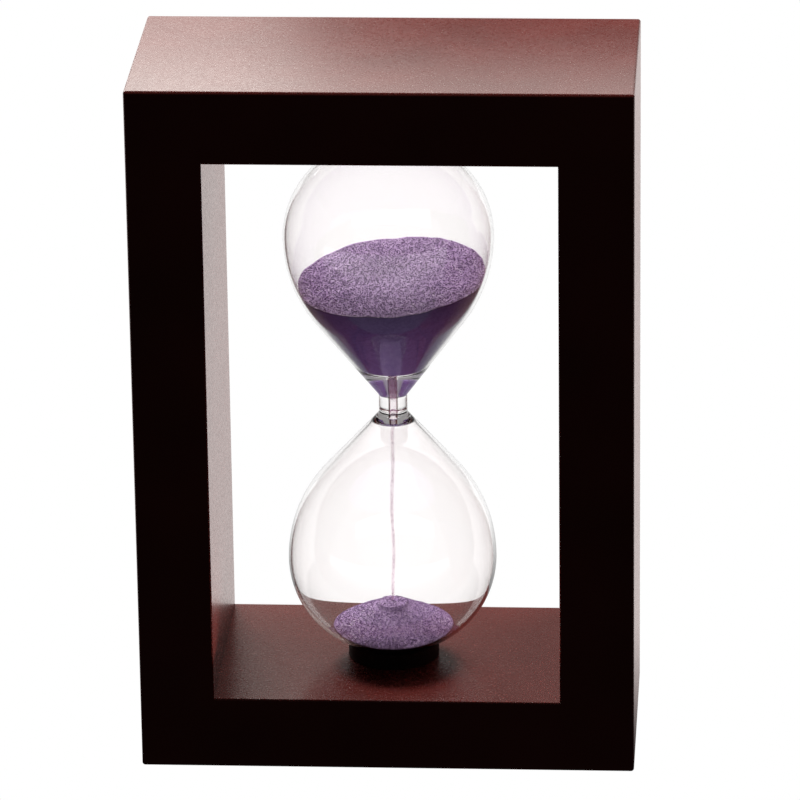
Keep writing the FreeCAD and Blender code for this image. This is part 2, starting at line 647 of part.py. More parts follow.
def make_sand_heap():
    """The sand that has run: bedded in the lower bulb's end, rising to a small flat crown."""
    body = new_body("sand_heap")
    section = sketch_on(body, "sand_heap_section", "XZ_Plane")
    wall = "(Sizes.glass_wall + Sizes.sand_clearance)"
    radius = value(f"Sizes.bulb_end_round - {wall}")
    centre_x = value(BULB_END_CENTRE)
    centre_y = -value(BULB_MIDDLE)
    bed = centre_y - radius
    rim = value("Sizes.heap_rim_radius")
    crown_radius = value("Sizes.heap_crown_radius")
    crown = value(HEAP_CROWN)
    rim_angle = -math.acos((rim - centre_x) / radius)
    bed_arc = arc(centre_x, centre_y, radius, -math.pi / 2, rim_angle)
    rim_point = bed_arc.EndPoint
    slope_radius = value("Sizes.heap_slope_round")
    chord = Vector(crown_radius - rim_point.x, crown - rim_point.y, 0)
    to_centre = math.sqrt(slope_radius ** 2 - chord.Length ** 2 / 4)
    inward = Vector(-chord.y, chord.x, 0).normalize()
    slope_centre = rim_point + chord / 2 + inward * to_centre
    from_rim = rim_point - slope_centre
    from_crown = Vector(crown_radius, crown, 0) - slope_centre
    slope = arc(
        slope_centre.x, slope_centre.y, slope_radius,
        math.atan2(from_rim.y, from_rim.x), math.atan2(from_crown.y, from_crown.x),
    )
    curves = [
        (line(0, bed, centre_x, bed), FORWARDS, SMOOTH),
        (bed_arc, FORWARDS, CORNER),
        (slope, FORWARDS, CORNER),
        (line(crown_radius, crown, 0, crown), FORWARDS, CORNER),
        (line(0, crown, 0, bed), FORWARDS, CORNER),
    ]
    flat, dish, side, top, axis = close_outline(section, curves)
    section.addConstraint([
        Sketcher.Constraint("PointOnObject", flat, 1, -2),
        Sketcher.Constraint("Horizontal", flat),
        Sketcher.Constraint("Horizontal", top),
        Sketcher.Constraint("Vertical", axis),
    ])
    dimension(section, "bed_radius", "Radius", (dish,), f"Sizes.bulb_end_round - {wall}")
    dimension(section, "bed_x", "DistanceX", (-1, 1, dish, 3), BULB_END_CENTRE)
    dimension(section, "bed_y", "DistanceY", (-1, 1, dish, 3), f"-{BULB_MIDDLE}")
    dimension(section, "rim", "DistanceX", (-1, 1, dish, 2), "Sizes.heap_rim_radius")
    dimension(section, "slope", "Radius", (side,), "Sizes.heap_slope_round")
    dimension(section, "crown_radius", "DistanceX", (-1, 1, top, 1), "Sizes.heap_crown_radius")
    dimension(section, "crown", "DistanceY", (-1, 1, top, 1), HEAP_CROWN)
    turned(body, section, "sand_heap_turned")
    place(body, z=NECK_HEIGHT)


def make_sand_stream():
    """The sand on its way: it fills the bore, then falls as a thinning thread to the heap."""
    body = new_body("sand_stream")
    section = sketch_on(body, "sand_stream_section", "XZ_Plane")
    bore = "(Sizes.bore_radius - Sizes.sand_clearance)"
    width = value(bore)
    top_level = "(Sizes.floor_above + Sizes.sand_clearance)"
    step_level = "(Sizes.floor_below + Sizes.sand_clearance)"
    top_end = value(top_level)
    low_end = -value(step_level)
    top_radius = value("Sizes.stream_top_radius")
    foot_radius = value("Sizes.stream_foot_radius")
    foot = value(HEAP_CROWN)
    curves = [
        (line(0, top_end, 0, foot), FORWARDS, CORNER),
        (line(0, foot, foot_radius, foot), FORWARDS, CORNER),
        (line(foot_radius, foot, top_radius, low_end), FORWARDS, CORNER),
        (line(top_radius, low_end, width, low_end), FORWARDS, CORNER),
        (line(width, low_end, width, top_end), FORWARDS, CORNER),
        (line(width, top_end, 0, top_end), FORWARDS, CORNER),
    ]
    axis, bottom, thread, step, side, top = close_outline(section, curves)
    section.addConstraint([
        Sketcher.Constraint("PointOnObject", axis, 1, -2),
        Sketcher.Constraint("Vertical", axis),
        Sketcher.Constraint("Horizontal", bottom),
        Sketcher.Constraint("Horizontal", step),
        Sketcher.Constraint("Vertical", side),
        Sketcher.Constraint("Horizontal", top),
    ])
    dimension(section, "top_end", "DistanceY", (-1, 1, axis, 1), top_level)
    dimension(section, "low_end", "DistanceY", (side, 1, -1, 1), step_level)
    dimension(section, "foot", "DistanceY", (-1, 1, axis, 2), HEAP_CROWN)
    dimension(section, "in_bore", "DistanceX", (-1, 1, side, 1), bore)
    dimension(section, "thread_top", "DistanceX", (-1, 1, thread, 2), "Sizes.stream_top_radius")
    dimension(section, "thread_foot", "DistanceX", (-1, 1, thread, 1), "Sizes.stream_foot_radius")
    turned(body, section, "sand_stream_turned")
    place(body, z=NECK_HEIGHT)


# ---------------------------------------------------------------------------------------------
# Build, check and write
# ---------------------------------------------------------------------------------------------

def check_document():
    """Stop if any object failed, any cut removed nothing or any node has no sound solid."""
    doc.recompute()
    for item in doc.Objects:
        if "Invalid" in item.State or "Error" in item.State:
            raise RuntimeError(f"{item.Name} failed: {item.State}")
        if item.TypeId in ("PartDesign::Pocket", "PartDesign::Groove"):
            removed = item.BaseFeature.Shape.Volume - item.Shape.Volume
            if removed <= 0:
                raise RuntimeError(f"{item.Name} removes nothing")
    for node in NODES:
        shape = node.Shape
        if shape.isNull() or not shape.isValid() or len(shape.Solids) != 1:
            raise RuntimeError(f"{node.Label} is not one valid solid")


def write_nodes():
    os.makedirs("parts", exist_ok=True)
    for node in NODES:
        node.Shape.exportStep(f"parts/{node.Label}.step")
        box = node.Shape.BoundBox
        print(f"{node.Label:28s} {node.Shape.Volume:10.1f} mm3  z {box.ZMin:7.2f} to {box.ZMax:7.2f}")


make_frame()
make_dowels()
make_glass()
make_glass_holders()
make_sand_upper()
make_sand_stream()
make_sand_heap()
check_document()
write_nodes()
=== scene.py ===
import math

import bpy
import numpy as np
from mathutils import Matrix, Vector


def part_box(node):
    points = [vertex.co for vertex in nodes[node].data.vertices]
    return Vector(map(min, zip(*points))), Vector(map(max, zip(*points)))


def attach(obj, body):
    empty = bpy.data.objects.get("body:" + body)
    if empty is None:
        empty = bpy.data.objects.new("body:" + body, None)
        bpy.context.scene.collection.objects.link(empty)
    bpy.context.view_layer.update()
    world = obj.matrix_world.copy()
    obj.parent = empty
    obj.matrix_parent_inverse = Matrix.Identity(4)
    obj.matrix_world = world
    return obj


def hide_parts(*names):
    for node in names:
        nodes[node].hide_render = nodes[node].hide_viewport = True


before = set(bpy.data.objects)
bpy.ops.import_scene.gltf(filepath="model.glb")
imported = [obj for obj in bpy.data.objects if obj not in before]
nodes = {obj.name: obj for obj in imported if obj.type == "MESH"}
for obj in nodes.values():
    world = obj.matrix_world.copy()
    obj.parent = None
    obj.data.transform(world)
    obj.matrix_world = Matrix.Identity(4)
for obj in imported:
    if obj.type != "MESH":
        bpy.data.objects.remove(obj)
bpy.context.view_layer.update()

# A sand timer: dark lacquered frame, blown glass double bulb, violet sand. Metres; +Z up, -Y front.

MM = 0.001
TAU = 2 * math.pi


# ---------------------------------------------------------------------------------------------
# Places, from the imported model
# ---------------------------------------------------------------------------------------------

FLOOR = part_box("bottom_board")[1].z
GLASS_LOW, GLASS_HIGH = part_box("glass")
NECK = (GLASS_LOW.z + GLASS_HIGH.z) / 2
BULB_RADIUS = GLASS_HIGH.x

# The glass's section, measured up and down from the level that its two bulbs share.
NECK_RADIUS = 2.9 * MM
NECK_ABOVE = 0.4 * MM
NECK_BELOW = 2.6 * MM
WAIST_ROUND = 1.2 * MM
FLANK_ROUND = 28.5 * MM
END_ROUND = 19.3 * MM
WALL = 0.6 * MM
BORE_RADIUS = 0.7 * MM
FLOOR_ABOVE = 7.0 * MM
FLOOR_BELOW = 4.9 * MM
CAVITY_CORNER = 2.0 * MM
STUB_RADIUS = 4.5 * MM
STUB_BORE_RADIUS = 3.2 * MM
STUB_LENGTH = 6.0 * MM
STUB_FILLET = 0.9 * MM
STUB_LIP = 0.5 * MM
BORE_MOUTH = 0.25 * MM
NECK_SHIFT = 0.5 * MM
NECK_SHIFT_FADE = 15 * MM
GLASS_COLUMNS = 150
STUB_TIP = GLASS_HIGH.z - NECK
BULB_END = STUB_TIP - STUB_LENGTH
BULB_MIDDLE = BULB_END - END_ROUND
SAND_CLEARANCE = 0.05 * MM


# ---------------------------------------------------------------------------------------------
# Mesh helpers
# ---------------------------------------------------------------------------------------------

def new_piece(name, points, faces, smooth=True):
    """A mesh object at the origin from an array of points and lists of faces."""
    mesh = bpy.data.meshes.new(name)
    mesh.from_pydata(points.tolist(), [], faces)
    mesh.polygons.foreach_set("use_smooth", np.full(len(mesh.polygons), smooth))
    mesh.update()
    piece = bpy.data.objects.new(name, mesh)
    bpy.context.scene.collection.objects.link(piece)
    return piece


def ring_quads(rows, columns, join_rows=False):
    """Quads between neighbouring rings of a grid whose columns close round on themselves."""
    last = rows if join_rows else rows - 1
    row = np.arange(last)[:, None]
    column = np.arange(columns)[None, :]
    below = (row + 1) % rows
    beside = (column + 1) % columns
    corners = (
        row * columns + column,
        below * columns + column,
        below * columns + beside,
        row * columns + beside,
    )
    return np.stack(np.broadcast_arrays(*corners), axis=-1).reshape(-1, 4)


def wrapped(rings, first_pole, last_pole):
    """Points and faces of a closed skin: rings of points from one pole to the other."""
    rows, columns, _ = rings.shape
    points = np.concatenate([rings.reshape(-1, 3), [first_pole, last_pole]])
    column = np.arange(columns)
    beside = (column + 1) % columns
    low = np.full(columns, rows * columns)
    first_fan = np.stack([low, column, beside], axis=-1)
    base = (rows - 1) * columns
    last_fan = np.stack([low + 1, base + beside, base + column], axis=-1)
    faces = ring_quads(rows, columns).tolist() + first_fan.tolist() + last_fan.tolist()
    return points, faces


def turned(radius, height, columns):
    """Rings of a profile revolved about Z: (radius cos a, radius sin a, height), a in a circle."""
    angle = np.linspace(0, TAU, columns, endpoint=False)
    x = radius[:, None] * np.cos(angle)
    y = radius[:, None] * np.sin(angle)
    z = np.broadcast_to(height[:, None], x.shape)
    return np.stack([x, y, z], axis=-1)


def arc_points(centre_r, centre_s, radius, start, end, count):
    """Points on an arc of a section, from one angle to another."""
    angle = np.linspace(start, end, count)
    return np.stack([centre_r + radius * np.cos(angle), centre_s + radius * np.sin(angle)], axis=-1)


def straight(start, end, count):
    """Evenly spaced points strictly between two points of a section."""
    share = np.linspace(0, 1, count + 2)[1:-1, None]
    return np.asarray(start) + share * (np.asarray(end) - np.asarray(start))


# ---------------------------------------------------------------------------------------------
# The glass
# ---------------------------------------------------------------------------------------------

def flank_angle(neck):
    """Angle from the axis of the straight flank that touches both the waist and bulb rounds."""
    across = NECK_RADIUS + WAIST_ROUND - BULB_RADIUS + FLANK_ROUND
    along = BULB_MIDDLE - neck
    touching = math.acos((WAIST_ROUND + FLANK_ROUND) / math.hypot(across, along))
    return math.atan2(along, across) - touching


def outer_half(neck):
    """Outer section up to the stub's tip: neck, waist arc, flank, bulb arcs, fillet, stub."""
    angle = flank_angle(neck)
    waist = arc_points(NECK_RADIUS + WAIST_ROUND, neck, WAIST_ROUND, math.pi, math.pi - angle, 16)
    flank = arc_points(BULB_RADIUS - FLANK_ROUND, BULB_MIDDLE, FLANK_ROUND, -angle, 0, 40)
    end_r = BULB_RADIUS - END_ROUND
    fillet_r = STUB_RADIUS + STUB_FILLET
    fillet_angle = math.acos((fillet_r - end_r) / (END_ROUND + STUB_FILLET))
    fillet_s = BULB_MIDDLE + (END_ROUND + STUB_FILLET) * math.sin(fillet_angle)
    end = arc_points(end_r, BULB_MIDDLE, END_ROUND, 0, fillet_angle, 60)[1:]
    fillet = arc_points(fillet_r, fillet_s, STUB_FILLET, fillet_angle + math.pi, math.pi, 8)[1:]
    tip = arc_points(STUB_RADIUS - STUB_LIP, STUB_TIP - STUB_LIP, STUB_LIP, 0, math.pi / 2, 6)
    return np.concatenate([
        [[NECK_RADIUS, 0]], straight([NECK_RADIUS, 0], waist[0], 8), waist,
        straight(waist[-1], flank[0], 24), flank, end, fillet,
        straight(fillet[-1], tip[0], 4), tip,
    ])


def cavity_half(neck, floor_level, inset=0.0):
    """Cavity section from the axis at its floor to its far end: corner, flank, bulb arcs."""
    angle = flank_angle(neck)
    wall = WALL + inset
    corner = CAVITY_CORNER - inset
    floor = floor_level + inset
    flank_r = BULB_RADIUS - FLANK_ROUND
    flank = arc_points(flank_r, BULB_MIDDLE, FLANK_ROUND - wall, -angle, 0, 40)
    outward = np.array([math.cos(angle), -math.sin(angle)])
    corner_s = floor + corner
    corner_r = (outward @ flank[0] - corner - outward[1] * corner_s) / outward[0]
    rounding = arc_points(corner_r, corner_s, corner, -math.pi / 2, -angle, 14)
    end_r = BULB_RADIUS - END_ROUND
    end = arc_points(end_r, BULB_MIDDLE, END_ROUND - wall, 0, math.pi / 2, 60)[1:]
    return np.concatenate([
        straight([0, floor], rounding[0], 8), rounding, straight(rounding[-1], flank[0], 24),
        flank, end,
    ])


def blown(rings):
    """Hand-blown unevenness: points drawn in towards the axis, and a neck a little off centre.

    The share drawn in is 0.15% (1 + sin(2a + 1.3 + 40 s)) + 0.1% (1 + sin(3a - 0.7 + 95 s)),
    where a is the angle round the axis and s the height above the neck in metres. The neck
    lies 0.5 mm to the right, which fades as exp(-((s + 1 mm) / 15 mm)^2)."""
    angle = np.arctan2(rings[..., 1], rings[..., 0])
    above = rings[..., 2] - NECK
    drawn = 0.0015 * (1 + np.sin(2 * angle + 1.3 + 40 * above))
    drawn += 0.001 * (1 + np.sin(3 * angle - 0.7 + 95 * above))
    shaped = rings.copy()
    shaped[..., :2] *= (1 - drawn)[..., None]
    shaped[..., 0] += NECK_SHIFT * np.exp(-(((above + 1 * MM) / NECK_SHIFT_FADE) ** 2))
    return shaped


def make_glass():
    """One skin: up the outside from the nub, over the stub's lip, and back down the inside."""
    mirror = np.array([1, -1])
    outside = outer_half(NECK_ABOVE)
    outside_below = outer_half(NECK_BELOW) * mirror
    inside = cavity_half(NECK_ABOVE, FLOOR_ABOVE)
    inside_below = cavity_half(NECK_BELOW, FLOOR_BELOW) * mirror
    mouth_r = BORE_RADIUS + BORE_MOUTH
    mouth = arc_points(mouth_r, FLOOR_ABOVE - BORE_MOUTH, BORE_MOUTH, math.pi / 2, math.pi, 6)
    mouth_below = arc_points(
        mouth_r, FLOOR_BELOW - BORE_MOUTH, BORE_MOUTH, math.pi / 2, math.pi, 6
    ) * mirror
    stub_foot = inside[inside[:, 0] > STUB_BORE_RADIUS][-1]
    stub_lip = arc_points(
        STUB_BORE_RADIUS + STUB_LIP, STUB_TIP - STUB_LIP, STUB_LIP, math.pi / 2, math.pi, 6
    )
    stub_bore = straight(stub_lip[-1], [STUB_BORE_RADIUS, stub_foot[1]], 10)
    inside = inside[inside[:, 0] > mouth_r]
    inside = inside[: np.argmax(inside[:, 1] >= stub_foot[1]) + 1]
    section = np.concatenate([
        outside_below[::-1], outside[1:], stub_lip, stub_bore, inside[::-1], mouth,
        straight(mouth[-1], mouth_below[-1], 16), mouth_below[::-1],
        inside_below[inside_below[:, 0] > mouth_r],
    ])
    rings = blown(turned(section[:, 0], NECK + section[:, 1], GLASS_COLUMNS))
    start = (0, 0, NECK + section[0, 1])
    end = (0, 0, NECK + section[-1, 1])
    points, faces = wrapped(rings, start, end)
    return new_piece("glass_bulbs", points, [face[::-1] for face in faces])


# ---------------------------------------------------------------------------------------------
# Sand
# ---------------------------------------------------------------------------------------------

GRAIN_RADIUS = 0.17 * MM
THREAD_GRAIN_RADIUS = 0.12 * MM
UPPER_GRAINS = 13000
HEAP_GRAINS = 6500
THREAD_GRAINS = 700
GRAIN_LIFT = (-0.7, 0.1)
OCTAHEDRON = np.array([
    [1, 0, 0], [-1, 0, 0], [0, 1, 0], [0, -1, 0], [0, 0, 1], [0, 0, -1],
], float)
OCTAHEDRON_FACES = np.array([
    [0, 2, 4], [2, 1, 4], [1, 3, 4], [3, 0, 4], [2, 0, 5], [1, 2, 5], [3, 1, 5], [0, 3, 5],
])


def grains(centres, radius, random):
    """An octahedron of random size, stretch and turn at each centre."""
    count = len(centres)
    quaternion = random.normal(size=(count, 4))
    w, x, y, z = (quaternion / np.linalg.norm(quaternion, axis=1, keepdims=True)).T
    turn = np.stack([
        1 - 2 * (y * y + z * z), 2 * (x * y - z * w), 2 * (x * z + y * w),
        2 * (x * y + z * w), 1 - 2 * (x * x + z * z), 2 * (y * z - x * w),
        2 * (x * z - y * w), 2 * (y * z + x * w), 1 - 2 * (x * x + y * y),
    ], axis=-1).reshape(count, 3, 3)
    stretch = radius * random.uniform(0.7, 1.25, size=(count, 1, 3))
    corners = np.einsum("nij,nkj->nki", turn, OCTAHEDRON[None] * stretch) + centres[:, None]
    faces = OCTAHEDRON_FACES[None] + 6 * np.arange(count)[:, None, None]
    return corners.reshape(-1, 3), faces.reshape(-1, 3)


def with_grains(name, points, faces, centres, random, radius=GRAIN_RADIUS):
    """One piece of a bed of sand and the loose grains that lie in its surface."""
    grain_points, grain_faces = grains(centres, radius, random)
    every_point = np.concatenate([points, grain_points])
    every_face = faces + (grain_faces + len(points)).tolist()
    piece = new_piece(name, every_point, every_face)
    smooth = np.arange(len(every_face)) < len(faces)
    piece.data.polygons.foreach_set("use_smooth", smooth)
    return piece


def paint_shade_on_glass_faces(piece, quads, columns, free_rows):
    """Put the faces beyond a grid's free rows, which lie on the glass, in the second slot, whose
    darker sand is painted shade.
    """
    slot = np.zeros(len(piece.data.polygons), int)
    slot[(free_rows - 1) * columns:quads] = 1
    slot[quads + columns:quads + 2 * columns] = 1
    piece.data.polygons.foreach_set("material_index", slot)


def ripples(x, y, waves):
    """A sum of plane waves: each is amplitude, wave numbers along x and y in 1/m, and phase."""
    total = np.zeros_like(x)
    for amplitude, along_x, along_y, phase in waves:
        total += amplitude * np.sin(along_x * x + along_y * y + phase)
    return total


def inner_radius(above):
    """The cavity's radius, less the sand's clearance, at heights above its floor."""
    section = cavity_half(NECK_ABOVE, FLOOR_ABOVE, SAND_CLEARANCE)
    rising = section[section[:, 1].argsort(kind="stable")]
    return np.interp(above, rising[:, 1], rising[:, 0])


UPPER_LEVEL = 25.7 * MM
UPPER_SLOPE_X = 0.077
UPPER_SLOPE_Y = 0.089
UPPER_WAVES = (
    (0.10 * MM, 320, 190, 0.6), (0.08 * MM, -260, 430, 2.1),
    (0.05 * MM, 900, 350, 4.0), (0.04 * MM, -700, 1100, 1.2), (0.04 * MM, 1500, -900, 3.3),
)


def upper_surface(x, y):
    """Height above the neck of the sand that is left.

    A tilted plane, with a shallow funnel of depth 0.9 mm exp(-(r / 5 mm)^2) and slight ripples."""
    funnel = 0.9 * MM * np.exp(-(x * x + y * y) / (5 * MM) ** 2)
    plane = UPPER_LEVEL + UPPER_SLOPE_X * x + UPPER_SLOPE_Y * y
    return plane - funnel + ripples(x, y, UPPER_WAVES)


def make_upper_sand():
    """A polar grid over the surface, out to where it meets the glass, then down the glass."""
    random = np.random.default_rng(11)
    columns = 240
    angle = np.linspace(0, TAU, columns, endpoint=False)
    heights = np.linspace(FLOOR_ABOVE + CAVITY_CORNER, BULB_MIDDLE, 600)[:, None]
    reach = inner_radius(heights)
    above_sand = heights - upper_surface(reach * np.cos(angle), reach * np.sin(angle))
    rim_row = np.argmax(above_sand > 0, axis=0)
    rim = heights[rim_row, 0]
    rim_radius = inner_radius(rim)
    share = np.linspace(0, 1, 70)[1:, None]
    radius = share * rim_radius
    x = radius * np.cos(angle)
    y = radius * np.sin(angle)
    top = np.stack([x, y, NECK + upper_surface(x, y)], axis=-1)
    floor = FLOOR_ABOVE + SAND_CLEARANCE
    fall = np.linspace(1, 0, 110)[1:-1, None]
    side_height = floor + fall * (rim - floor)
    side_radius = inner_radius(side_height)
    side = np.stack(
        [side_radius * np.cos(angle), side_radius * np.sin(angle), NECK + side_height], axis=-1
    )
    rings = np.concatenate([top, side])
    poles = np.array([
        [0, 0, NECK + float(upper_surface(np.zeros(1), np.zeros(1))[0])], [0, 0, NECK + floor],
    ])
    points, faces = wrapped(blown(rings), *blown(poles))
    count = UPPER_GRAINS
    spread = np.sqrt(random.uniform(0, 1, count))
    around = random.uniform(0, TAU, count)
    edge = np.interp(around, np.append(angle, TAU), np.append(rim_radius, rim_radius[0]))
    grain_r = spread * (edge - 1.2 * GRAIN_RADIUS)
    gx = grain_r * np.cos(around)
    gy = grain_r * np.sin(around)
    lift = GRAIN_RADIUS * random.uniform(*GRAIN_LIFT, count)
    centres = blown(np.stack([gx, gy, NECK + upper_surface(gx, gy) + lift], axis=-1))
    piece = with_grains("violet_sand_above", points, faces, centres, random)
    paint_shade_on_glass_faces(piece, (len(rings) - 1) * columns, columns, len(top))
    return piece


HEAP_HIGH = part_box("sand_heap")[1]
HEAP_RIM_RADIUS = HEAP_HIGH.x
HEAP_CROWN = HEAP_HIGH.z - 0.1 * MM - NECK
HEAP_CROWN_RADIUS = 2.85 * MM
HEAP_STEP = 0.55 * MM
HEAP_WAVES = (
    (0.10 * MM, 420, 260, 1.0), (0.08 * MM, -380, 520, 0.2), (0.04 * MM, 1300, 700, 2.0),
)


def heap_surface(radius, x, y):
    """Height above the neck of the heap.

    A flat crown with a small step at its edge, then a fall to the glass as share^1.25, where
    share runs from 0 at the crown to 1 at the rim. A gully to the front right is 0.5 mm deep
    at mid slope, as exp(-((a - a0) / 0.22)^2) of the angle round the axis."""
    rim_height = -lower_cavity_depth(HEAP_RIM_RADIUS)
    share = np.clip((radius - HEAP_CROWN_RADIUS) / (HEAP_RIM_RADIUS - HEAP_CROWN_RADIUS), 0, 1)
    step = HEAP_STEP * np.clip((radius - HEAP_CROWN_RADIUS) / (0.5 * MM), 0, 1)
    brow = HEAP_CROWN - step
    slope = brow + (rim_height - brow) * share ** 1.25
    off_gully = np.arctan2(y, x) + math.radians(62)
    gully = 0.5 * MM * np.sin(math.pi * share) * np.exp(-((off_gully / 0.22) ** 2))
    edge_fade = np.clip((HEAP_RIM_RADIUS - radius) / (2 * MM), 0, 1)
    return slope - gully + edge_fade * ripples(x, y, HEAP_WAVES)


def lower_cavity_depth(radius):
    """Depth below the neck of the lower cavity's end at a radius."""
    end_r = BULB_RADIUS - END_ROUND
    size = END_ROUND - WALL - SAND_CLEARANCE
    return BULB_MIDDLE + np.sqrt(size ** 2 - np.maximum(radius - end_r, 0) ** 2)


def make_heap():
    """A polar grid over the heap, out to the glass, then back to the axis along the glass."""
    random = np.random.default_rng(23)
    columns = 200
    angle = np.linspace(0, TAU, columns, endpoint=False)
    share = np.linspace(0, 1, 60)[1:, None]
    radius = share * HEAP_RIM_RADIUS * np.ones(columns)
    x = radius * np.cos(angle)
    y = radius * np.sin(angle)
    top = np.stack([x, y, NECK + heap_surface(radius, x, y)], axis=-1)
    under = radius[::-1][1:]
    bed = np.stack([
        under * np.cos(angle), under * np.sin(angle), NECK - lower_cavity_depth(under),
    ], axis=-1)
    rings = blown(np.concatenate([top, bed]))
    poles = np.array([
        [0, 0, NECK + HEAP_CROWN], [0, 0, NECK - float(lower_cavity_depth(0.0))],
    ])
    points, faces = wrapped(rings, *blown(poles))
    count = HEAP_GRAINS
    grain_r = np.sqrt(random.uniform(0, 1, count)) * (HEAP_RIM_RADIUS - GRAIN_RADIUS)
    around = random.uniform(0, TAU, count)
    gx = grain_r * np.cos(around)
    gy = grain_r * np.sin(around)
    lift = GRAIN_RADIUS * random.uniform(*GRAIN_LIFT, count)
    centres = np.stack([gx, gy, NECK + heap_surface(grain_r, gx, gy) + lift], axis=-1)
    piece = with_grains("violet_sand_heap", points, faces, blown(centres), random)
    paint_shade_on_glass_faces(piece, (len(rings) - 1) * columns, columns, len(top))
    return piece


THREAD_TOP_RADIUS = 0.40 * MM
THREAD_FOOT_RADIUS = 0.30 * MM


def make_stream():
    """A thread from the upper sand to the heap: it fills the bore, then thins and wanders.

    Below the bore the radius falls from 0.40 to 0.30 mm with slight beads, and the middle
    wanders by up to 0.12 mm as a sine of the height."""
    random = np.random.default_rng(5)
    top = FLOOR_ABOVE + SAND_CLEARANCE
    in_bore = np.linspace(top, -FLOOR_BELOW, 30)
    below = np.linspace(-FLOOR_BELOW - 0.4 * MM, HEAP_CROWN, 260)
    fall = (below - below[0]) / (below[-1] - below[0])
    beads = 0.02 * MM * np.sin(below / (0.45 * MM)) + 0.015 * MM * np.sin(below / (0.21 * MM))
    thread = THREAD_TOP_RADIUS + (THREAD_FOOT_RADIUS - THREAD_TOP_RADIUS) * fall + beads
    radius = np.concatenate([np.full_like(in_bore, BORE_RADIUS - SAND_CLEARANCE), thread])
    height = np.concatenate([in_bore, below])

    def sway(level):
        """How far the thread's middle lies to the right and to the back at a level."""
        loose = np.clip(-(level + FLOOR_BELOW) / (4 * MM), 0, 1) * MM
        right = 0.12 * np.sin(level / (2.9 * MM) + 0.5) + 0.10 * np.sin(level / (7.3 * MM))
        return loose * right, loose * 0.08 * np.sin(level / (1.9 * MM))

    rings = turned(radius, NECK + height, 12)
    right, back = sway(height)
    rings[..., 0] += right[:, None]
    rings[..., 1] += back[:, None]
    rings = blown(rings)
    points, faces = wrapped(rings, rings[0].mean(axis=0), rings[-1].mean(axis=0))
    count = THREAD_GRAINS
    drop = random.uniform(HEAP_CROWN + 0.2 * MM, -FLOOR_BELOW - 1 * MM, count)
    off = random.normal(0, 0.14 * MM, (count, 2))
    right, back = sway(drop)
    centres = np.stack([right + off[:, 0], back + off[:, 1], NECK + drop], axis=-1)
    return with_grains(
        "violet_sand_thread", points, faces, blown(centres), random, THREAD_GRAIN_RADIUS
    )


# ---------------------------------------------------------------------------------------------
# Seat rings
# ---------------------------------------------------------------------------------------------

def make_ring(name, node, up):
    """A moulded ring: straight side, rounded lip, dished seat and bore, revolved about Z."""
    low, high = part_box(node)
    columns = 120
    radius = high.x
    height = high.z - low.z
    lip = 0.55 * MM
    foot = 0.2 * MM
    bore = STUB_RADIUS + 0.3 * MM
    seat_r = BULB_RADIUS - END_ROUND
    seat_size = END_ROUND + 0.1 * MM
    land = radius - 2 * lip
    rise = height - 0.02 * MM
    seat_centre = rise + math.sqrt(seat_size ** 2 - (land - seat_r) ** 2)
    across = np.linspace(land, bore, 14)
    seat_rise = seat_centre - np.sqrt(seat_size ** 2 - (across - seat_r) ** 2)
    seat = np.stack([across, seat_rise], axis=-1)
    section = np.concatenate([
        arc_points(radius - foot, foot, foot, -math.pi / 2, 0, 5),
        straight([radius, foot], [radius, rise - lip], 8),
        arc_points(radius - lip, rise - lip, lip, 0, math.pi / 2, 10),
        seat,
        [[bore, 0]],
    ])
    start = low.z if up else high.z
    z = start + (1 if up else -1) * section[:, 1]
    rings = turned(section[:, 0], z, columns)
    faces = ring_quads(len(section), columns, join_rows=True)
    faces = faces[:, ::-1] if up else faces
    return new_piece(name, rings.reshape(-1, 3), faces.tolist())


# ---------------------------------------------------------------------------------------------
# Materials
# ---------------------------------------------------------------------------------------------

def new_material(name):
    """A material with its node tree, its Principled shader and its output."""
    material = bpy.data.materials.new(name)
    material.use_nodes = True
    tree = material.node_tree
    shader = next(node for node in tree.nodes if node.type == "BSDF_PRINCIPLED")
    output = next(node for node in tree.nodes if node.type == "OUTPUT_MATERIAL")
    return material, tree, shader, output


def speckle_group():
    """Shader group: a fine speckle of cells over the surface, as a mask and as a height."""
    group = bpy.data.node_groups.new("fine speckle", "ShaderNodeTree")
    for name, kind, default in (
        ("Cells per metre", "NodeSocketFloat", 3000.0),
        ("Waves per metre", "NodeSocketFloat", 60.0),
    ):
        socket = group.interface.new_socket(name, in_out="INPUT", socket_type=kind)
        socket.default_value = default
    for name in ("Speckle", "Drift"):
        group.interface.new_socket(name, in_out="OUTPUT", socket_type="NodeSocketFloat")
    given = group.nodes.new("NodeGroupInput")
    result = group.nodes.new("NodeGroupOutput")
    place = group.nodes.new("ShaderNodeTexCoord")
    cells = group.nodes.new("ShaderNodeTexVoronoi")
    drift = group.nodes.new("ShaderNodeTexNoise")
    drift.inputs["Detail"].default_value = 3.0
    link = group.links.new
    link(place.outputs["Object"], cells.inputs["Vector"])
    link(place.outputs["Object"], drift.inputs["Vector"])
    link(given.outputs["Cells per metre"], cells.inputs["Scale"])
    link(given.outputs["Waves per metre"], drift.inputs["Scale"])
    separate = group.nodes.new("ShaderNodeSeparateColor")
    link(cells.outputs["Color"], separate.inputs["Color"])
    link(separate.outputs["Red"], result.inputs["Speckle"])
    link(drift.outputs["Fac"], result.inputs["Drift"])
    return group


SPECKLE = speckle_group()


def add_speckle(tree, cells, waves):
    """The shared speckle, with this material's own sizes."""
    node = tree.nodes.new("ShaderNodeGroup")
    node.node_tree = SPECKLE
    node.inputs["Cells per metre"].default_value = cells
    node.inputs["Waves per metre"].default_value = waves
    return node


